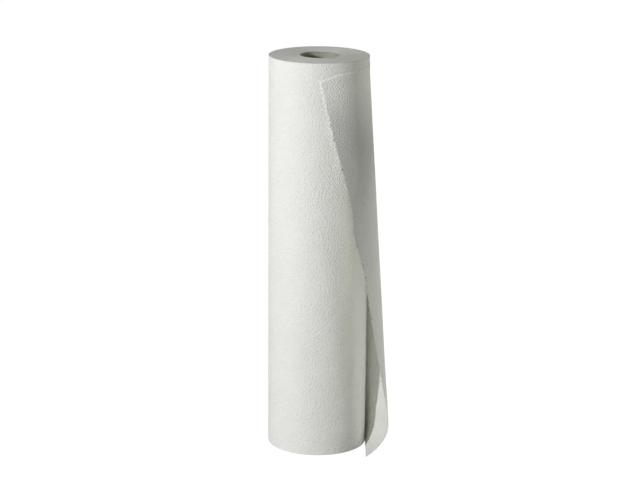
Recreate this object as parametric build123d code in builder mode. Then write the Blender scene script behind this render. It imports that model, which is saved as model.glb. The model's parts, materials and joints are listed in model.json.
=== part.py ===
# Exam table paper roll
#
# A couch roll: one long web of embossed paper wound on a thin cardboard core. The roll stands on
# one end, and its outermost turn has come loose: it slants, has slipped down a little and bells
# out over the floor, with its torn edge facing the front.
#
# Frame: millimetres, +Z up along the roll's axis, the origin on the axis at the standing end.
# The front, where the loose corner lies, is towards -Y, and the loose turn opens towards +X.

from build123d import *
from math import acos, cos, degrees, pi, radians, sqrt
import os

os.makedirs("parts", exist_ok=True)

# The roll
web_width = 500.0
roll_diameter = 125.0
roll_radius = roll_diameter / 2

# The cardboard core
core_bore_diameter = 46.0
core_wall = 1.5
core_bore_radius = core_bore_diameter / 2
core_outer_radius = core_bore_radius + core_wall

# The wound turns: bands of turns that sit slightly out of line with each other, so that each
# end shows steps. Edges are shares of the wound depth, and shifts are shares of the largest one
band_shift = 0.7
band_edge_shares = (0, 0.07, 0.15, 0.26, 0.34, 0.45, 0.53, 0.64, 0.74, 0.86, 1)
band_shift_shares = (0, 0.6, 0.25, 1, 0.5, 0.85, 0.1, 0.6, 0.3, 0)

# The loose turn. From the back line it lies on the roll up to its leaving line, goes straight for
# a stretch, and bends round again with the roll's own radius. Its reach is how far it stands off.
# Above the bulge the reach and the straight stretch shrink together towards the top end. Below,
# the reach goes back to nothing at the floor, where the sheet runs straight off the roll's side
loose_sheet = 0.6
loose_slit = 0.4
corner_drop = 21.0
foot_reach = 66.0
bulge_height = 45.0
bulge_reach = 26.8
leaving_angle = 57.0
least_flat = 0.5
foot_curve_power = 2.2
foot_spread_height = 95.0

# Angles around from the back line: the root, where the loose turn runs into the turn below it,
# and the far end of the sheet before its edge is torn off
root_depth = 2.0
root_start_angle = -16.0
root_outer_angle = -4.0
root_inner_angle = 8.0
back_angle = 90.0
sheet_end_angle = 200.0
tear_sweep_angle = 115.0
tear_reach = 4 * roll_radius

# Level cuts that the loose turn is made through: in its curled foot, and above the bulge
foot_cut_count = 7
upper_cut_count = 28

# The slanted top edge: shares of the roll's radius across, and of the corner's drop down
top_edge_shares = ((0, 1), (0.2, 0.79), (0.36, 0.66), (0.62, 0.57), (1, 0.45))
side_drop = corner_drop * top_edge_shares[-1][1]
cut_overrun = 40.0

corner_height = web_width - corner_drop
head_lap = pi * roll_radius
foot_lap = pi * roll_radius / 2 + foot_reach
inner_radius = roll_radius + loose_slit
outer_radius = inner_radius + loose_sheet
reach_slope = bulge_reach / (web_width - bulge_height)
flat_slope = reach_slope / cos(radians(leaving_angle))


def even_steps(low, high, count):
    """heights from low to high, both included, in even steps"""
    return [low + (high - low) * step / (count - 1) for step in range(count)]


def lap(height):
    """length of paper from the back line to the torn edge, at one height"""
    return foot_lap + (head_lap - foot_lap) * height / corner_height


def reach(height):
    """how far the loose turn stands off the roll at its widest, at one height"""
    cone = (web_width - height) * reach_slope
    if height >= bulge_height:
        return cone
    return cone * (1 - (1 - height / bulge_height) ** foot_curve_power)


def flat_stretch(height):
    """length of the straight stretch after the leaving line, at one height"""
    cone = least_flat + (web_width - height) * flat_slope
    spare = foot_reach - least_flat - web_width * flat_slope
    return cone + spare * max(0, 1 - height / foot_spread_height)


def bend_centre(height):
    """the centre of the bend after the straight stretch, at one height"""
    return Vector(reach(height), -sqrt(flat_stretch(height) ** 2 - reach(height) ** 2))


def leaving(height):
    """angle around from the back line at which the loose turn leaves the roll, at one height"""
    return degrees(acos(reach(height) / flat_stretch(height)))


def tear_angle(height):
    """angle around from the back line at which the torn edge lies, at one height"""
    return degrees((lap(height) - flat_stretch(height)) / roll_radius)


def polar(radius, angle, centre=Vector(0, 0)):
    """a point at an angle around from the back towards the right, about a centre"""
    return centre + Vector(0, radius).rotate(Axis.Z, -angle)


# Core: a thin tube of wound cardboard, as long as the web is wide
with BuildPart() as core:
    with BuildSketch():
        Circle(core_outer_radius)
        Circle(core_bore_radius, mode=Mode.SUBTRACT)
    extrude(amount=web_width)

# Paper: the loose turn first, then the wound turns that it runs into
foot_heights = even_steps(0, bulge_height, foot_cut_count)
sheet_heights = foot_heights + even_steps(bulge_height, web_width, upper_cut_count)[1:]

with BuildPart() as paper_roll:
    # The loose sheet. At each level it is an arc from the back line to the leaving line, the
    # straight stretch, and an arc on past the torn edge
    for height in sheet_heights:
        leave = leaving(height)
        centre = bend_centre(height)
        bend_start = back_angle - leave
        bend_sweep = leave - sheet_end_angle
        with BuildSketch(Plane.XY.offset(height)):
            with BuildLine():
                for radius in (inner_radius, outer_radius):
                    CenterArc((0, 0), radius, back_angle, -leave)
                    Line(polar(radius, leave), polar(radius, leave, centre))
                    CenterArc(centre, radius, bend_start, bend_sweep)
                Line((0, inner_radius), (0, outer_radius))
                Line(
                    polar(inner_radius, sheet_end_angle, centre),
                    polar(outer_radius, sheet_end_angle, centre),
                )
            make_face()
    loft(ruled=True)

    # The root at the back, where the loose turn runs into the turn below it
    with BuildSketch():
        with BuildLine():
            Polyline(
                polar(roll_radius - root_depth, root_start_angle),
                polar(inner_radius + loose_sheet / 2, root_outer_angle),
                polar(inner_radius + loose_sheet / 2, root_inner_angle),
                polar(roll_radius - root_depth, root_inner_angle),
                close=True,
            )
        make_face()
    extrude(amount=web_width)

    # The torn edge: a wedge that turns back towards the front as it rises takes off the rest
    for height in [-cut_overrun] + sheet_heights:
        at = max(height, 0)
        centre = bend_centre(at)
        with BuildSketch(Plane.XY.offset(height)):
            with BuildLine():
                Polyline(
                    centre,
                    polar(tear_reach, tear_angle(at), centre),
                    polar(tear_reach, tear_angle(at) + tear_sweep_angle, centre),
                    close=True,
                )
            make_face()
    loft(ruled=True, mode=Mode.SUBTRACT)

    # The slanted top edge, cut from the front and then from the back
    with BuildSketch(Plane.XZ):
        with BuildLine():
            edge = [(x * roll_radius, web_width - y * corner_drop) for x, y in top_edge_shares]
            Spline(*edge)
            Polyline(
                edge[-1],
                (edge[-1][0] + cut_overrun, edge[-1][1]),
                (edge[-1][0] + cut_overrun, web_width + cut_overrun),
                (edge[0][0] - cut_overrun, web_width + cut_overrun),
                (edge[0][0] - cut_overrun, edge[0][1]),
                edge[0],
            )
        make_face()
    extrude(amount=roll_diameter, mode=Mode.SUBTRACT)
    with BuildSketch(Plane.XZ):
        with BuildLine():
            Polyline(
                (0, web_width),
                (roll_radius, web_width - side_drop),
                (roll_radius + cut_overrun, web_width - side_drop),
                (roll_radius + cut_overrun, web_width + cut_overrun),
                (0, web_width + cut_overrun),
                close=True,
            )
        make_face()
    extrude(amount=-roll_diameter, mode=Mode.SUBTRACT)

    # The wound turns, whose bands step up and down together at both ends
    wound_depth = roll_radius - core_outer_radius
    band_radii = [core_outer_radius + share * wound_depth for share in band_edge_shares]
    band_feet = [share * band_shift for share in band_shift_shares]
    with BuildSketch(Plane.XZ):
        with BuildLine():
            foot_line = []
            head_line = []
            for near, far, foot in zip(band_radii, band_radii[1:], band_feet):
                foot_line += [(near, foot), (far, foot)]
                head_line += [(near, foot + web_width), (far, foot + web_width)]
            Polyline(*foot_line, *reversed(head_line), close=True)
        make_face()
    revolve(axis=Axis.Z)

core.part.label = "core"
paper_roll.part.label = "paper_roll"
export_step(core.part, "parts/core.step")
export_step(paper_roll.part, "parts/paper_roll.step")

for piece in (core, paper_roll):
    size = piece.part.bounding_box().size
    print(f"{piece.part.label}: {size.X:.1f} x {size.Y:.1f} x {size.Z:.1f} mm, "
          f"{len(piece.part.solids())} solid, {piece.part.volume / 1000:.0f} cm3")
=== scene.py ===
# %% [markdown]
# # An exam table paper roll
#
# The object is one long web of embossed tissue, wound about 180 times round a thin cardboard
# core. It stands on one end. Its outermost turn has come loose: it leans away from the roll,
# has slipped down a little at the front, and bells out over the floor.
#
# The CAD model gives the frame and the sizes. This file dresses it in three pieces: the core,
# the wound turns, and the outer web, which is the last wound turn and the loose turn in one
# sheet.

# %% Load the frame
import json
from math import cos, pi, radians, sin, tau

import bpy
import numpy as np
from mathutils import Matrix, Vector


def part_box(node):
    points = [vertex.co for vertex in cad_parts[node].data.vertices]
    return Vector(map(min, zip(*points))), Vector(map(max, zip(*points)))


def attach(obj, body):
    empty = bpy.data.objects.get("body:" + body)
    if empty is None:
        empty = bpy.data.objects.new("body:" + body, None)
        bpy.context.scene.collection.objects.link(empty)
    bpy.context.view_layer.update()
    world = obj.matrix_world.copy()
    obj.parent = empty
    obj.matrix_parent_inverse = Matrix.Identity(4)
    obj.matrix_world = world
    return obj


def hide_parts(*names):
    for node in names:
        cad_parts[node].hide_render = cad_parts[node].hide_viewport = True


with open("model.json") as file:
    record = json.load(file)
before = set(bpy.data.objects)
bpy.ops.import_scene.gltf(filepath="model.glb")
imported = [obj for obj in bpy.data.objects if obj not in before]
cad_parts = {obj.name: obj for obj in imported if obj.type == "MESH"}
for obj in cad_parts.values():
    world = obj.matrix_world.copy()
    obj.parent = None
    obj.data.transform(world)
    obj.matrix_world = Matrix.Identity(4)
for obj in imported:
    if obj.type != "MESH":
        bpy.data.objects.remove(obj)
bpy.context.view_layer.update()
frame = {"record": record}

# %% [markdown]
# ## The sizes
#
# A size that the CAD model has is read from it, so the two can't drift apart. The paper's own
# thickness is a choice: a real web is about 0.2 mm thick, and the loose sheet is drawn a little
# thicker, which doesn't show but keeps its two faces apart.

# %% Read the sizes
MM = 0.001
core_low, core_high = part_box("core")
roll_low, roll_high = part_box("paper_roll")
web_width = core_high[2] - core_low[2]
core_radius = core_high[0]
mounts = {mount["name"]: mount for mount in frame["record"]["mounts"]}
bore_radius = mounts["core_bore"]["dims"]["r_mm"] * MM
roll_radius = -roll_low[0]
end_step = roll_high[2] - web_width
sheet = 0.3 * MM
print(f"web {web_width:.3f} m wide, roll {roll_radius:.4f} m in radius, core {core_radius:.4f} m")

# %% [markdown]
# ## The camera
#
# The camera was solved from the outlines of the roll in the photograph: it stands 2.6 m in front
# of the roll and looks down by 15 degrees. It comes first, because each piece is seen through it.

# %% Set up the camera
camera_place = Vector((0.0026, -2.5609, 0.9498))
camera_pitch = radians(14.98)
camera_roll = radians(0.45)
sensor_width = 36
focal_length = 118.65

camera_data = bpy.data.cameras.new("camera")
camera_data.sensor_fit = "HORIZONTAL"
camera_data.sensor_width = sensor_width
camera_data.lens = focal_length
camera_data.clip_end = 50
camera = bpy.data.objects.new("camera", camera_data)
bpy.context.scene.collection.objects.link(camera)
turn = Matrix.Rotation(pi / 2 - camera_pitch, 4, "X") @ Matrix.Rotation(camera_roll, 4, "Z")
camera.matrix_world = Matrix.Translation(camera_place) @ turn
bpy.context.scene.camera = camera
print("camera at", [round(value, 3) for value in camera.location])

# %% [markdown]
# ## A helper for materials
#
# A material is a small network of nodes. Wired by hand it is long to write and hard to read, so
# one class wraps a node's output and gives it Python's operators: a + b adds a Math node. The
# other class adds any other node in one call, from its type, its settings and its inputs.

# %% Define the material helpers
class Wire:
    """One output of a node. Adding, multiplying and so on adds a Math node."""

    def __init__(self, maker, socket):
        self.maker, self.socket = maker, socket

    def math(self, operation, *values):
        return self.maker.node("ShaderNodeMath", {"operation": operation}, dict(enumerate(values)))

    def __add__(self, other):
        return self.math("ADD", self, other)

    def __radd__(self, other):
        return self.math("ADD", other, self)

    def __sub__(self, other):
        return self.math("SUBTRACT", self, other)

    def __rsub__(self, other):
        return self.math("SUBTRACT", other, self)

    def __mul__(self, other):
        return self.math("MULTIPLY", self, other)

    def __rmul__(self, other):
        return self.math("MULTIPLY", other, self)

    def __truediv__(self, other):
        return self.math("DIVIDE", self, other)

    def fraction(self):
        return self.math("FRACT", self)

    def distance_from(self, other):
        return self.math("ABSOLUTE", self - other)

    def step_up(self, low, high):
        """0 below low, 1 above high, and a smooth change between them"""
        return self.maker.node(
            "ShaderNodeMapRange",
            {"interpolation_type": "SMOOTHSTEP"},
            {"Value": self, "From Min": low, "From Max": high},
        )


class Maker:
    """A new material, and the methods that add nodes to it."""

    def __init__(self, name):
        self.material = bpy.data.materials.new(name)
        self.material.use_nodes = True
        self.tree = self.material.node_tree
        self.tree.nodes.clear()

    def node(self, kind, settings=None, values=None, output=0):
        """any node, from its type, its settings and the values or links of its inputs"""
        node = self.tree.nodes.new(kind)
        for name, value in (settings or {}).items():
            setattr(node, name, value)
        for name, value in (values or {}).items():
            if isinstance(value, Wire):
                self.tree.links.new(value.socket, node.inputs[name])
            else:
                node.inputs[name].default_value = value
        return Wire(self, node.outputs[output])

    def blend(self, factor, low, high):
        """a colour between two colours"""
        values = {"Factor": factor, 6: low, 7: high}
        return self.node("ShaderNodeMix", {"data_type": "RGBA"}, values, output=2)

    def noise(self, place, scale, detail=2.0, roughness=0.5):
        values = {"Vector": place, "Scale": scale, "Detail": detail, "Roughness": roughness}
        return self.node("ShaderNodeTexNoise", values=values)

    def axis(self, vector, name):
        """the X, Y or Z of a vector"""
        return self.node("ShaderNodeSeparateXYZ", values={"Vector": vector}, output=name)

    def bump(self, height):
        """a normal that follows a height in metres"""
        values = {"Height": height, "Distance": 1.0, "Strength": 1.0}
        return self.node("ShaderNodeBump", values=values)

    def surface(self, shader):
        """link the last shader to the material, and hand the material back"""
        end = self.tree.nodes.new("ShaderNodeOutputMaterial")
        self.tree.links.new(shader.socket, end.inputs["Surface"])
        return self.material


print("material helpers ready")

# %% [markdown]
# ## The paper
#
# Exam table paper is bleached tissue, pressed between rollers that leave rows of small raised
# dots about 3 mm apart. The dots are far too many to model, so they are drawn in the bump, whose
# height is in metres, as on the real sheet. The rows of dots run slantwise over the web: turned
# into counts of rows, each dot sits near a whole number, where a Voronoi texture finds it and
# shifts it a little, as the soft tissue does.
#
# Where the sheet stands off the roll there is nothing behind it, so some of the light goes
# through: its lit face looks greyer than the roll, and its far face glows. The mesh says where,
# in an attribute, which greys the outer face and mixes in a translucent shader. The inner side
# is rougher from the press, so its fibres show as a faint mottle. It has its own part of the
# map, past the web's width, and that tells it apart. Another attribute marks the torn and top
# edges, whose colour is whitened there as a painted highlight for the light they catch; their
# frayed fibres are a little whiter as well.

# %% Choose the paper's colours and heights
paper_white = (0.905, 0.907, 0.865, 1)
paper_shade = (0.875, 0.878, 0.835, 1)
inner_fibre = (0.76, 0.765, 0.73, 1)
unbacked_grey = (0.71, 0.715, 0.71, 1)
# painted highlight: the colour of the torn and top edges where they catch the light
edge_highlight_white = (0.99, 0.99, 0.97, 1)
glow_white = (0.97, 0.97, 0.94, 1)
glow_share = 0.35
mottle_share = 0.7

dot_rows = ((178, 261), (267, -165))
dot_reach = 0.58
dot_disorder = 0.55
dot_height = 0.5 * MM
fibre_height = 0.14 * MM
cockle_height = 0.25 * MM
inner_map_shift = 501 * MM
print("paper dots:", dot_rows, "to the metre,", dot_height / MM, "mm high")

# %% Make the embossed paper
def embossed_paper(name):
    make = Maker(name)
    web = make.node("ShaderNodeUVMap", {"uv_map": "web"})
    along, across = make.axis(web, "X"), make.axis(web, "Y")
    fibres = make.noise(web, 300.0, detail=3.0)
    cockle = make.noise(web, 60.0, detail=2.0)
    mottle = make.noise(web, 25.0, detail=4.0, roughness=0.6)

    row, column = (along * a + across * b for a, b in dot_rows)
    count = make.node("ShaderNodeCombineXYZ", values={"X": row, "Y": column})
    flat = {"voronoi_dimensions": "2D"}
    values = {"Vector": count, "Scale": 1.0, "Randomness": dot_disorder}
    distance = make.node("ShaderNodeTexVoronoi", flat, values, output="Distance")
    chance = make.axis(make.node("ShaderNodeTexVoronoi", flat, values, output="Color"), "X")
    dots = (1 - distance.step_up(0.0, dot_reach)) * (chance * 0.5 + 0.5)
    bump = make.bump(dots * dot_height + fibres * fibre_height + cockle * cockle_height)

    inner_side = across.step_up(inner_map_shift - 0.7 * MM, inner_map_shift - 0.3 * MM)
    inner_mottle = inner_side * fibres.step_up(0.4, 0.7) * mottle_share
    loose = make.node("ShaderNodeAttribute", {"attribute_name": "loose"}, output="Fac")
    fray_highlight = make.node("ShaderNodeAttribute", {"attribute_name": "fray_highlight"}, output="Fac")
    colour = make.blend(mottle.step_up(0.3, 0.7), paper_shade, paper_white)
    colour = make.blend(inner_mottle, colour, inner_fibre)
    colour = make.blend(loose * (1 - inner_side), colour, unbacked_grey)
    # painted highlight on the torn and top edges, with a little real whitening from frayed fibres
    colour = make.blend(fray_highlight, colour, edge_highlight_white)

    values = {"Base Color": colour, "Roughness": 0.9, "Normal": bump, "Specular IOR Level": 0.2}
    face = make.node("ShaderNodeBsdfPrincipled", values=values)
    glow = make.node("ShaderNodeBsdfTranslucent", values={"Color": glow_white, "Normal": bump})
    mix = {0: loose * glow_share, 1: face, 2: glow}
    return make.surface(make.node("ShaderNodeMixShader", values=mix))


paper = embossed_paper("embossed_paper")
print("paper:", len(paper.node_tree.nodes), "nodes")

# %% [markdown]
# ## The ends of the roll
#
# On its ends the roll shows the cut edges of the web, turn beside turn. They look softer and a
# little greyer than the sheet, in rings that differ where the web ran a little looser.

# %% Make the cut edges of the web
edge_shade = (0.71, 0.71, 0.69, 1)
edge_white = (0.80, 0.80, 0.78, 1)


def cut_edges(name):
    make = Maker(name)
    place = make.node("ShaderNodeTexCoord", output="Object")
    flat = make.node("ShaderNodeVectorMath", {"operation": "MULTIPLY"}, {0: place, 1: (1, 1, 0)})
    radius = make.node("ShaderNodeVectorMath", {"operation": "LENGTH"}, {0: flat}, output="Value")
    ring = make.node("ShaderNodeTexNoise", {"noise_dimensions": "1D"}, {"W": radius, "Scale": 900.0})
    patch = make.noise(place, 60.0, detail=3.0)
    tone = ring * 0.7 + patch * 0.3
    colour = make.blend(tone.step_up(0.3, 0.7), edge_shade, edge_white)
    values = {"Base Color": colour, "Roughness": 0.95, "Specular IOR Level": 0.1}
    return make.surface(make.node("ShaderNodeBsdfPrincipled", values=values))


edges = cut_edges("web_cut_edges")
print("cut edges:", len(edges.node_tree.nodes), "nodes")

# %% [markdown]
# ## The cardboard
#
# The core is greyboard, wound in strips whose joints run round it as a steep screw line. The
# joint is worked out from the angle round the axis and the height, so it meets itself all round.
# The sawn end is paler than the skin, because the saw has torn its fibres up.

# %% Make the cardboard
board_shade = (0.30, 0.29, 0.24, 1)
board_light = (0.40, 0.39, 0.325, 1)
groove_dark = (0.20, 0.19, 0.155, 1)
sawn_light = (0.50, 0.495, 0.45, 1)
strip_pitch = 85 * MM
groove_depth = 0.25 * MM
board_fibre_height = 0.08 * MM


def cardboard(name):
    make = Maker(name)
    place = make.node("ShaderNodeTexCoord", output="Object")
    x, y, z = (make.axis(place, axis) for axis in "XYZ")
    angle = x.math("ARCTAN2", y, x) / tau
    joint = (z / strip_pitch + angle).fraction().distance_from(0.5)
    groove = joint.step_up(0.0, 0.008)
    fibres = make.noise(place, 700.0, detail=3.0)
    cloud = make.noise(place, 90.0, detail=3.0)
    bump = make.bump(groove * groove_depth + fibres * board_fibre_height)
    tone = cloud * 0.6 + fibres * 0.4
    skin = make.blend(tone.step_up(0.3, 0.7), board_shade, board_light)
    sawn = z.step_up(web_width - 0.2 * MM, web_width - 0.05 * MM)
    colour = make.blend(sawn, make.blend(groove, groove_dark, skin), sawn_light)
    values = {"Base Color": colour, "Roughness": 0.88, "Normal": bump, "Specular IOR Level": 0.25}
    return make.surface(make.node("ShaderNodeBsdfPrincipled", values=values))


board = cardboard("core_greyboard")
print("cardboard:", len(board.node_tree.nodes), "nodes")

# %% [markdown]
# ## A helper for meshes
#
# The core and the outer web are both grids of points: rows up the roll and columns round it.
# A thin closed shell needs an outer and an inner grid and rims that join them. One helper makes
# it from two arrays of points. The two skins are shaded smooth, and the rims stay flat. The
# other helper adds up a mesh's volume, which comes out below zero if its faces point inwards.

# %% Define the shell helper
sharp_angle = radians(60)


def show(name, mesh):
    """an object for a mesh, in the scene"""
    piece = bpy.data.objects.new(name, mesh)
    bpy.context.scene.collection.objects.link(piece)
    return piece


def shell(name, outside, inside, closed=False):
    """a closed shell from two grids of points, each [row][column][xyz], whose columns run
    clockwise from above"""
    rows, columns = outside.shape[:2]
    count = rows * columns
    index = np.arange(count).reshape(rows, columns)
    last = columns if closed else columns - 1
    here, side = index[:, :last], np.roll(index, -1, axis=1)[:, :last]
    outer = np.stack([here[:-1], here[1:], side[1:], side[:-1]], axis=-1).reshape(-1, 4)
    inner = outer[:, ::-1] + count
    foot = np.stack([here[0], side[0], side[0] + count, here[0] + count], axis=-1)
    head = np.stack([here[-1] + count, side[-1] + count, side[-1], here[-1]], axis=-1)
    rims = [foot, head]
    if not closed:
        start, end = index[:, 0], index[:, -1]
        rims.append(np.stack([start[:-1], start[:-1] + count, start[1:] + count, start[1:]], axis=-1))
        rims.append(np.stack([end[:-1], end[1:], end[1:] + count, end[:-1] + count], axis=-1))
    points = np.concatenate([outside.reshape(-1, 3), inside.reshape(-1, 3)])
    faces = np.concatenate([outer, inner, *rims])
    mesh = bpy.data.meshes.new(name)
    mesh.from_pydata(points.tolist(), [], faces.tolist())
    smooth = np.arange(len(faces)) < len(outer) + len(inner)
    mesh.polygons.foreach_set("use_smooth", smooth.tolist())
    mesh.set_sharp_from_angle(angle=sharp_angle)
    return show(name, mesh)


def signed_volume(piece):
    """the volume of a piece in cubic centimetres, above zero when its faces point outwards"""
    mesh = piece.data
    mesh.calc_loop_triangles()
    total = 0.0
    for triangle in mesh.loop_triangles:
        a, b, c = (mesh.vertices[i].co for i in triangle.vertices)
        total += a.dot(b.cross(c)) / 6
    return round(total * 1e6, 1)


print("shell helper ready")

# %% [markdown]
# ## The core
#
# The core is a plain tube, so its rows are the lines of a lathe profile: up the outside and up
# the bore, with the wall's corners a little rounded where the saw has frayed them.

# %% Make the core
core_columns = 96
core_rows = 25
row_margin = 10 * MM
fray = 0.25 * MM
around = -np.arange(core_columns) * tau / core_columns
plain_rows = np.linspace(row_margin, web_width - row_margin, core_rows)
heights = np.array([0, fray, *plain_rows, web_width - fray, web_width])
shrink = np.zeros(len(heights))
shrink[[0, -1]] = fray


def ring(radii):
    """a grid of points, one row for each height"""
    x = radii[:, None] * np.cos(around)[None, :]
    y = radii[:, None] * np.sin(around)[None, :]
    return np.stack([x, y, np.repeat(heights[:, None], core_columns, axis=1)], axis=-1)


core_tube = shell("core_tube", ring(core_radius - shrink), ring(bore_radius + shrink), closed=True)
core_tube.data.materials.append(board)
print("core tube:", len(core_tube.data.polygons), "faces,", signed_volume(core_tube), "cm3")

# %% [markdown]
# ## The wound turns
#
# The web goes round the core again and again, which is a rule, so Geometry Nodes make it: a
# spiral curve, one turn of it for each turn of paper, carries a tall thin strip. Paper never
# winds quite true, so each turn is lifted by a little noise that depends on its radius alone,
# and on the ends the turns show as rings.

# %% Build the node tree of the wound turns
def wound_tree(name):
    tree = bpy.data.node_groups.new(name, "GeometryNodeTree")
    tree.interface.new_socket("Geometry", in_out="OUTPUT", socket_type="NodeSocketGeometry")
    inputs = {}
    for label, kind, default in (
        ("Turns", "NodeSocketFloat", 10.0),
        ("Steps a turn", "NodeSocketInt", 60),
        ("Inner radius", "NodeSocketFloat", 0.02),
        ("Outer radius", "NodeSocketFloat", 0.06),
        ("Web width", "NodeSocketFloat", 0.5),
        ("Web thickness", "NodeSocketFloat", 0.0002),
        ("Step height", "NodeSocketFloat", 0.0007),
        ("Seed", "NodeSocketFloat", 1.0),
        ("Material", "NodeSocketMaterial", None),
    ):
        socket = tree.interface.new_socket(label, in_out="INPUT", socket_type=kind)
        if default is not None:
            socket.default_value = default
        inputs[label] = socket.identifier
    given = tree.nodes.new("NodeGroupInput")

    def add(kind, settings=None, values=None, output=0):
        node = tree.nodes.new(kind)
        for key, value in (settings or {}).items():
            setattr(node, key, value)
        for key, value in (values or {}).items():
            if isinstance(value, bpy.types.NodeSocket):
                tree.links.new(value, node.inputs[key])
            else:
                node.inputs[key].default_value = value
        return node.outputs[output]

    spiral = add("GeometryNodeCurveSpiral", None, {
        "Resolution": given.outputs["Steps a turn"], "Rotations": given.outputs["Turns"],
        "Start Radius": given.outputs["Inner radius"], "End Radius": given.outputs["Outer radius"],
        "Height": 0.0, "Reverse": True,
    })
    place = add("GeometryNodeInputPosition")
    radius = add("ShaderNodeVectorMath", {"operation": "LENGTH"}, {0: place}, output="Value")
    bands = add("ShaderNodeTexNoise", {"noise_dimensions": "2D"}, {
        "Vector": add("ShaderNodeCombineXYZ", None, {"X": radius, "Y": given.outputs["Seed"]}),
        "Scale": 200.0, "Detail": 2.0, "Roughness": 0.4,
    })
    share = add("ShaderNodeMapRange", None, {"Value": bands, "From Min": 0.25, "From Max": 0.75})
    lift = add("ShaderNodeMath", {"operation": "MULTIPLY"}, {0: share, 1: given.outputs["Step height"]})
    half = add("ShaderNodeMath", {"operation": "MULTIPLY"}, {0: given.outputs["Web width"], 1: 0.5})
    height = add("ShaderNodeMath", {"operation": "ADD"}, {0: lift, 1: half})
    offset = add("ShaderNodeCombineXYZ", None, {"Z": height})
    lifted = add("GeometryNodeSetPosition", None, {"Geometry": spiral, "Offset": offset})
    upright = add("GeometryNodeSetCurveNormal", {"mode": "Z_UP"}, {"Curve": lifted})
    strip = add("GeometryNodeCurvePrimitiveQuadrilateral", {"mode": "RECTANGLE"}, {
        "Width": given.outputs["Web thickness"], "Height": given.outputs["Web width"],
    })
    web = add("GeometryNodeCurveToMesh", None, {"Curve": upright, "Profile Curve": strip, "Fill Caps": True})
    flat = add("GeometryNodeSetShadeSmooth", None, {"Geometry": web, "Shade Smooth": False})
    real = add("GeometryNodeRealizeInstances", None, {"Geometry": flat})
    painted = add("GeometryNodeSetMaterial", None, {"Geometry": real, "Material": given.outputs["Material"]})
    out = tree.nodes.new("NodeGroupOutput")
    tree.links.new(painted, out.inputs["Geometry"])
    return tree, inputs


turns_tree, turns_inputs = wound_tree("wound_turns")
print("wound turns tree:", len(turns_tree.nodes), "nodes")

# %% [markdown]
# The tree runs once, on an empty mesh. Its result becomes a plain mesh and the modifier goes,
# because the piece that rides with the CAD body has to be a finished one.

# %% Run the node tree
turn_count = 180
turn_pitch = (roll_radius - sheet - core_radius) / turn_count
turn_fill = 0.97
step_share = 0.6


def run_tree(name, tree, identifiers, values):
    """a plain mesh piece from a tree and the values of its inputs"""
    holder = show(name + "_holder", bpy.data.meshes.new(name + "_holder"))
    modifier = holder.modifiers.new("nodes", "NODES")
    modifier.node_group = tree
    for label, value in values.items():
        modifier[identifiers[label]] = value
    graph = bpy.context.evaluated_depsgraph_get()
    mesh = bpy.data.meshes.new_from_object(holder.evaluated_get(graph))
    mesh.name = name
    bpy.data.objects.remove(holder)
    return show(name, mesh)


wound_turns = run_tree("wound_turns", turns_tree, turns_inputs, {
    "Turns": float(turn_count),
    "Steps a turn": 60,
    "Inner radius": core_radius + turn_pitch * 0.5,
    "Outer radius": roll_radius - sheet - turn_pitch * 0.5,
    "Web width": web_width,
    "Web thickness": turn_pitch * turn_fill,
    "Step height": end_step * step_share,
    "Seed": 4.0,
    "Material": edges,
})
print("wound turns:", len(wound_turns.data.polygons), "faces,", signed_volume(wound_turns), "cm3")

# %% [markdown]
# ## The shape of the loose turn
#
# A sheet of paper bends but doesn't stretch, so at each height the loose turn is one line of a
# known length. From above it lies on the roll for a while, leaves it, straightens, and bends
# again towards its torn edge. Five numbers at a few heights say how: the length of the line, how
# far it stands off the roll at most, its heading at the torn edge, where along it the bend
# sits, and where it leaves the roll. The last one isn't given: it is solved from the stand-off.

# %% Describe the level lines of the loose turn
corner_drop = 21 * MM
corner_height = web_width - corner_drop
foot_lap = 164 * MM
head_lap = pi * roll_radius
bulge_height = 45 * MM
bulge_reach = 27.6 * MM
foot_power = 2.17
bend_height = 110 * MM

end_heading = (
    (0, 90), (20, 85), (45, 84), (61, 95), (80, 109), (100, 115.5), (150, 124.5),
    (240, 136.5), (330, 149.5), (420, 169.5), (477, 180), (520, 182),
)


def smooth_through(x, stations):
    """a smooth curve through stations of (x, y), read at x"""
    xs, ys = np.array(stations, dtype=float).T
    slopes = np.gradient(ys, xs)
    i = int(np.clip(np.searchsorted(xs, x) - 1, 0, len(xs) - 2))
    span = xs[i + 1] - xs[i]
    t = np.clip((x - xs[i]) / span, 0, 1)
    rise = (2 * t**3 - 3 * t**2 + 1) * ys[i] + (3 * t**2 - 2 * t**3) * ys[i + 1]
    lean = (t**3 - 2 * t**2 + t) * slopes[i] + (t**3 - t**2) * slopes[i + 1]
    return rise + span * lean


def lap_at(height):
    """the length of paper from the back line to the torn edge"""
    return foot_lap + (head_lap - foot_lap) * height / corner_height


def reach_at(height):
    """how far the loose turn stands off the roll at its widest"""
    cone = bulge_reach * (corner_height - height) / (corner_height - bulge_height)
    if height < bulge_height:
        cone *= 1 - (1 - height / bulge_height) ** foot_power
    return max(cone, 0)


print("reach at 45, 150, 300 mm:", [round(reach_at(h * MM) / MM, 1) for h in (45, 150, 300)])

# %% [markdown]
# The further round the roll the sheet leaves it, the less it stands off. So the leaving angle is
# found by halving an interval again and again, until the widest point stands off by just the
# reach that is wanted. The line itself is traced in small straight steps.

# %% Solve the level lines
line_steps = 400
halvings = 30


def trace(leave, length, end, power):
    """points and headings of a line that leaves the roll at an angle and ends at a heading"""
    along = np.linspace(0, length, line_steps + 1)
    start = roll_radius * leave
    free = np.clip((along - start) / (length - start), 0, 1)
    bent = leave + (end - leave) * free**power
    heading = np.where(along < start, along / roll_radius, bent)
    middle = (heading[1:] + heading[:-1]) / 2
    step = length / line_steps
    x = np.concatenate([[0], np.cumsum(np.cos(middle)) * step])
    y = roll_radius - np.concatenate([[0], np.cumsum(np.sin(middle)) * step])
    return x, y, heading


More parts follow.
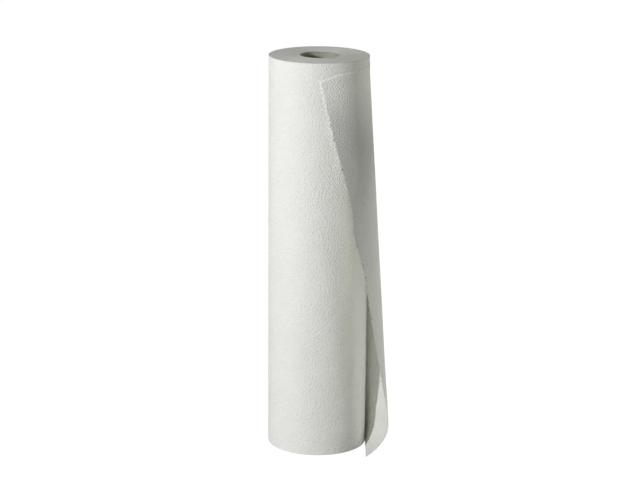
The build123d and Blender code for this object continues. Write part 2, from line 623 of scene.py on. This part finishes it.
def level_line(height, shares):
    """points (x, y) and headings of the loose turn at one height, at shares of its length"""
    length = lap_at(height)
    end = radians(smooth_through(height / MM, end_heading))
    power = 1 + 2 / (1 + (height / bend_height) ** 3)
    low, high = 0.0, min(end, pi / 2)
    for _ in range(halvings):
        leave = (low + high) / 2
        if trace(leave, length, end, power)[0].max() - roll_radius > reach_at(height):
            low = leave
        else:
            high = leave
    along = np.linspace(0, length, line_steps + 1)
    return [np.interp(shares * length, along, values) for values in trace(high, length, end, power)]


for height in (0, 45, 100, 200, 300, 400):
    x, y, heading = level_line(height * MM, np.array([0.5, 1.0]))
    print(height, "mm: torn edge at", round(x[1] / MM, 1), round(y[1] / MM, 1))

# %% [markdown]
# ## The outer web
#
# The last wound turn and the loose turn are one sheet, so they are one grid. Its columns start
# one full turn before the back line, where the web still lies on the roll, and end at the torn
# edge. Its rows follow the perforation: three rows for each tie that held the next sheet, and
# the torn ties stand out as small teeth. The top edge slants down to the loose corner.

# %% Lay out the grid of the outer web
tie_pitch = 5.5 * MM
row_count = 3 * round(web_width / tie_pitch) + 1
loose_columns = 72
wound_columns = 72
lip = 1.2 * MM
top_edge = ((0, 0), (90, 9.45), (141.7, 12), (159, 13.9), (168.5, 16.6), (180, 21))
level_count = 201

row_share = np.append(np.linspace(0, 1 - lip / web_width, row_count - 1), 1)
loose_shares = np.linspace(0, 1, loose_columns + 1)
loose_shares = np.append(loose_shares[:-1], [1 - lip / head_lap, 1])
level_heights = np.linspace(0, web_width, level_count)
levels = [level_line(min(h, corner_height), loose_shares) for h in level_heights]
level_x, level_y, level_heading = (np.array([level[i] for level in levels]) for i in range(3))
print("rows:", row_count, "loose columns:", loose_columns, "wound columns:", wound_columns)

# %% Tear the free edge into teeth
tooth = 1.5 * MM
torn_deep_share = 0.15
random = np.random.default_rng(7)
tooth_out = np.zeros(row_count)
ties, beside, between = tooth_out[::3], tooth_out[1::3], tooth_out[2::3]
ties[:] = tooth * random.uniform(0.3, 1.2, len(ties))
beside[:] = tooth * random.uniform(-0.2, 0.5, len(beside))
between[:] = tooth * random.uniform(-0.9, 0.1, len(between))
between -= tooth * 1.2 * (random.random(len(between)) < torn_deep_share)
print("teeth stand out by", round(tooth_out.max() / MM, 2), "mm and are torn in by",
      round(-tooth_out.min() / MM, 2), "mm")

# %% Place the points of the wound turn
growth = (sheet + 0.02 * MM) / tau
middle = np.zeros((row_count, wound_columns + len(loose_shares), 3))
out = np.zeros_like(middle)
along_web = np.zeros(middle.shape[:2])
loose = np.zeros(middle.shape[:2])
fray_highlight = np.zeros(middle.shape[:2])

for column in range(wound_columns):
    angle = (column - wound_columns) * tau / wound_columns
    radius = roll_radius - sheet / 2 + growth * angle
    middle[:, column, 0] = radius * sin(angle)
    middle[:, column, 1] = radius * cos(angle)
    middle[:, column, 2] = row_share * web_width
    out[:, column] = (sin(angle), cos(angle), 0)
    along_web[:, column] = roll_radius * angle
print("wound turn starts at", (middle[0, 0] / MM).round(2), "mm")

# %% [markdown]
# Paper that has been wound and torn off is never quite true. The loose sheet is a little wavy
# where nothing holds it. Its free edge flares outwards at mid height, sways out once, and turns
# down to the roll near the corner, as its top edge does. The same numbers say where the sheet
# counts as loose for the light, and where its edges get the painted highlight.

# %% Choose how the loose sheet strays from its level lines
flare, flare_length = radians(9), 22 * MM
flare_rise = (150 * MM, 270 * MM)
lip_turn = 0.7 * MM
lip_rise = (290 * MM, 380 * MM)
head_lip_rise = (0.55, 0.85)
# heights over which the painted edge highlight fades out above the foot
foot_highlight_rise = (200 * MM, 160 * MM)
sway, sway_height = 5 * MM, 287 * MM
sway_spread, sway_depth = 24 * MM, 30 * MM
wave_height = 0.35 * MM
wave_rise = (0, 8 * MM)
waves = ((9.1, 17, 0), (15.7, -31, 1.3), (4.2, 47, 0.6))
loose_rise = (1.5 * MM, 8.5 * MM)


def ramp(value, ends):
    """0 at the first end and before it, 1 at the second and past it, straight between them"""
    return np.clip((value - ends[0]) / (ends[1] - ends[0]), 0, 1)


def soft_waves(u, z):
    """a slow unevenness of the loose sheet, from -1 to 1"""
    return sum(np.sin(u * along + z * across + start) for along, across, start in waves) / len(waves)


print("flare", round(flare * flare_length / 2 / MM, 2), "mm, sway", sway / MM, "mm")

# %% Place the points of the loose turn
for column, share in enumerate(loose_shares):
    here = wound_columns + column
    z = row_share * (web_width - smooth_through(share * 180, top_edge) * MM)
    x, y, heading = (
        np.interp(z, level_heights, values[:, column]) for values in (level_x, level_y, level_heading)
    )
    lap = np.array([lap_at(height) for height in z])
    from_edge = (1 - share) * lap
    from_roll = np.hypot(x, y) - roll_radius
    at_edge = share == 1

    flared = flare * ramp(z, flare_rise)
    to_end = ramp(from_edge, (flare_length, 0))
    heading = heading - flared * to_end**2 * (3 - 2 * to_end)
    nx, ny = np.sin(heading), np.cos(heading)
    lipped = ramp(z, lip_rise)
    head_lip = ramp(share, head_lip_rise)
    push = growth * share * lap / roll_radius - sheet / 2
    push = push + ramp(from_roll, wave_rise) * soft_waves(share, z) * wave_height
    push = push + flared * flare_length * to_end**3 * (1 - to_end / 2) - lip_turn * lipped * at_edge
    push[-1] -= lip_turn * head_lip
    swayed = np.exp(-(((z - sway_height) / sway_spread) ** 2)) * ramp(from_edge, (sway_depth, 0)) ** 2
    extra = tooth_out * at_edge + sway * swayed

    middle[:, here, 0] = x + nx * push + np.cos(heading) * extra
    middle[:, here, 1] = y + ny * push - np.sin(heading) * extra
    middle[:, here, 2] = z
    out[:, here, 0], out[:, here, 1] = nx, ny
    along_web[:, here] = share * lap
    loose[:, here] = ramp(from_roll, loose_rise)
    # painted highlight: the edge is whitened most high up and near the foot, where it catches the light
    edge_highlight_share = np.maximum(0.1 + 0.9 * lipped, 0.8 * ramp(z, foot_highlight_rise))
    fray_highlight[:, here] = (0.3 + 0.7 * (tooth_out > 0)) * edge_highlight_share * at_edge
    # painted highlight along the top edge, growing towards the loose corner
    fray_highlight[-2:, here] = head_lip
print("loose corner at", (middle[-1, -1] / MM).round(1), "mm")

# %% Make the outer web
outer_web = shell("outer_web", middle + out * sheet / 2, middle - out * sheet / 2)
for label, grid in (("loose", loose), ("fray_highlight", fray_highlight)):
    attribute = outer_web.data.attributes.new(label, "FLOAT", "POINT")
    attribute.data.foreach_set("value", np.concatenate([grid.reshape(-1)] * 2))
print("outer web:", len(outer_web.data.polygons), "faces,", signed_volume(outer_web), "cm3")

# %% [markdown]
# The web's map holds each point's place on the flat sheet in metres, so the rows of dots run on
# round the roll and over the loose turn without a break. The inner side has its own part of the
# map, where the paper's material looks for it.

# %% Map the outer web
map_margin = 2 * MM
web_start = tau * roll_radius
point_map = np.stack([along_web + web_start + map_margin, middle[:, :, 2]], axis=-1).reshape(-1, 2)
point_map = np.concatenate([point_map, point_map + (0, inner_map_shift)])
loops = np.zeros(len(outer_web.data.loops), dtype=int)
outer_web.data.loops.foreach_get("vertex_index", loops)
web_map = outer_web.data.uv_layers.new(name="web")
web_map.data.foreach_set("uv", point_map[loops].reshape(-1))
outer_web.data.materials.append(paper)
print("web map spans", point_map.min(0).round(3), "to", point_map.max(0).round(3))

# %% [markdown]
# ## Ride and replace
#
# Nothing on the roll moves by itself, so the three pieces ride on the one body. They stand for
# the two solids of the CAD model, which stay hidden for collision.

# %% Tie the pieces to the frame
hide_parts("core")
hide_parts("paper_roll")
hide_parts("paper_roll")
for piece, slot_name in ((core_tube, "cardboard"), (wound_turns, "paper"), (outer_web, "paper")):
    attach(piece, "root")
print("pieces:", [piece.name for piece in (core_tube, wound_turns, outer_web)])

# %% [markdown]
# ## The floor
#
# The photograph's ground is plain white. The floor is a middling grey, so that it lights the roll
# no more than it should, and what the camera sees of it is lifted to white, with the roll's
# shadow still on it.

# %% Lay the floor
floor_reach = 12.0
floor_grey = (0.45, 0.45, 0.445, 1)
floor_lift = 0.86


def pale_floor(name):
    make = Maker(name)
    path = make.node("ShaderNodeLightPath", output="Is Camera Ray")
    glow = make.node("ShaderNodeEmission", values={"Color": (1, 1, 1, 1), "Strength": floor_lift})
    plain = make.node("ShaderNodeBsdfDiffuse", values={"Color": floor_grey})
    lifted = make.node("ShaderNodeAddShader", values={0: glow, 1: plain})
    return make.surface(make.node("ShaderNodeMixShader", values={0: path, 1: plain, 2: lifted}))


corners = [(x * floor_reach, y * floor_reach, 0) for x, y in ((-1, -1), (1, -1), (1, 1), (-1, 1))]
floor_mesh = bpy.data.meshes.new("floor")
floor_mesh.from_pydata(corners, [], [(0, 1, 2, 3)])
floor_mesh.materials.append(pale_floor("pale_floor"))
floor = show("floor", floor_mesh)
print("floor laid,", 2 * floor_reach, "m wide")

# %% [markdown]
# ## The light
#
# The shadows in the photograph are crisp and the shaded side is still readable. So one small
# round lamp stands high at the front on the left, and a low one on the right is much weaker. A
# wide, weak sun fills the right side. Lamps of another kind, such as a softbox, would blur the
# shadow of the torn edge on the roll.

# %% Set the lamps
def lamp_at(name, kind, place, aim, energy, colour):
    """a lamp at a place, turned towards a point"""
    data = bpy.data.lights.new(name, kind)
    data.energy, data.color = energy, colour
    lamp = bpy.data.objects.new(name, data)
    lamp.location = place
    lamp.rotation_mode = "QUATERNION"
    lamp.rotation_quaternion = (Vector(place) - Vector(aim)).to_track_quat("Z", "Y")
    lamp.visible_camera = False
    bpy.context.scene.collection.objects.link(lamp)
    return data


def disk_lamp(name, place, aim_height, size, energy, colour):
    """a round lamp, turned towards a point on the roll's axis"""
    data = lamp_at(name, "AREA", place, (0, 0, aim_height), energy, colour)
    data.shape, data.size = "DISK", size


def sun(name, azimuth, elevation, spread, energy, colour):
    """a sun, whose light comes from an azimuth right of the camera's side and an elevation"""
    a, e = radians(azimuth), radians(elevation)
    towards = Vector((sin(a) * cos(e), -cos(a) * cos(e), sin(e)))
    lamp_at(name, "SUN", towards * 3, (0, 0, 0), energy, colour).angle = radians(spread)


disk_lamp("key", (-1.726, -1.667, 1.0), web_width / 2, size=0.15, energy=43.2, colour=(0.958, 0.956, 1))
disk_lamp("low side", (0.492, -0.087, 0.13), 0.14, size=0.2, energy=0.5, colour=(1, 1, 0.97))
sun("side", azimuth=128, elevation=10, spread=20, energy=0.68, colour=(1, 1, 0.95))
print("lamps set at the front left, the right and the back right")

# %% [markdown]
# Light that comes in through the mouth of the loose turn lands on the inner side of its free
# edge and bounces off it on to the roll. Few of the traced light paths find that way, so narrow
# strip lamps along the edge, turned towards the roll, add what is missing. They are weaker where
# the sheet lies closer to the roll, because less light comes in there.

# %% Set the strip lamps along the free edge
strip_count = 9
strip_column = -4
strip_heights = (30 * MM, 430 * MM)
strip_width = 8 * MM
strip_gap = 3 * sheet
strip_radiance = 0.95
strip_colour = (1, 1, 0.92)
full_reach = 16 * MM

edge_line, edge_out = middle[:, strip_column], out[:, strip_column]
inner_line = edge_line - edge_out * strip_gap
stops = np.searchsorted(edge_line[:, 2], np.linspace(*strip_heights, strip_count + 1))
for number, (start, end) in enumerate(zip(stops, stops[1:])):
    low, high = Vector(inner_line[start]), Vector(inner_line[end])
    up = (high - low).normalized()
    across = up.cross(Vector(edge_out[(start + end) // 2])).normalized()
    away = across.cross(up)
    place = (low + high) / 2
    data = bpy.data.lights.new(f"edge bounce {number}", "AREA")
    data.shape, data.size, data.size_y = "RECTANGLE", strip_width, (high - low).length
    mouth = min(reach_at(place.z) / full_reach, 1)
    data.energy = strip_radiance * mouth * pi * data.size * data.size_y
    data.color = strip_colour
    lamp = bpy.data.objects.new(data.name, data)
    facing = Matrix((across, up, away)).transposed().to_4x4()
    lamp.matrix_world = Matrix.Translation(place) @ facing
    lamp.visible_camera = False
    bpy.context.scene.collection.objects.link(lamp)
print("strip lamps:", strip_count, "from", strip_heights[0], "to", strip_heights[1], "m")

# %% [markdown]
# A second wide sun lights the back, and the room adds a dim light from all sides, a little green
# as in the photograph. The camera sees the room as plain white.

# %% Set the light from behind and the room
room_colour = (0.979, 1, 0.872, 1)
room_strength = 0.255
sun("back", azimuth=-170, elevation=5, spread=30, energy=1.4, colour=(1, 0.99, 1))

world = bpy.data.worlds.new("room")
bpy.context.scene.world = world
world.use_nodes = True
room = world.node_tree
room.nodes.clear()
path = room.nodes.new("ShaderNodeLightPath")
seen = room.nodes.new("ShaderNodeBackground")
seen.inputs["Color"].default_value = (1, 1, 1, 1)
light = room.nodes.new("ShaderNodeBackground")
light.inputs["Color"].default_value = room_colour
light.inputs["Strength"].default_value = room_strength
choose = room.nodes.new("ShaderNodeMixShader")
sky = room.nodes.new("ShaderNodeOutputWorld")
room.links.new(path.outputs["Is Camera Ray"], choose.inputs[0])
room.links.new(light.outputs[0], choose.inputs[1])
room.links.new(seen.outputs[0], choose.inputs[2])
room.links.new(choose.outputs[0], sky.inputs["Surface"])
bpy.context.scene.view_settings.view_transform = "Standard"
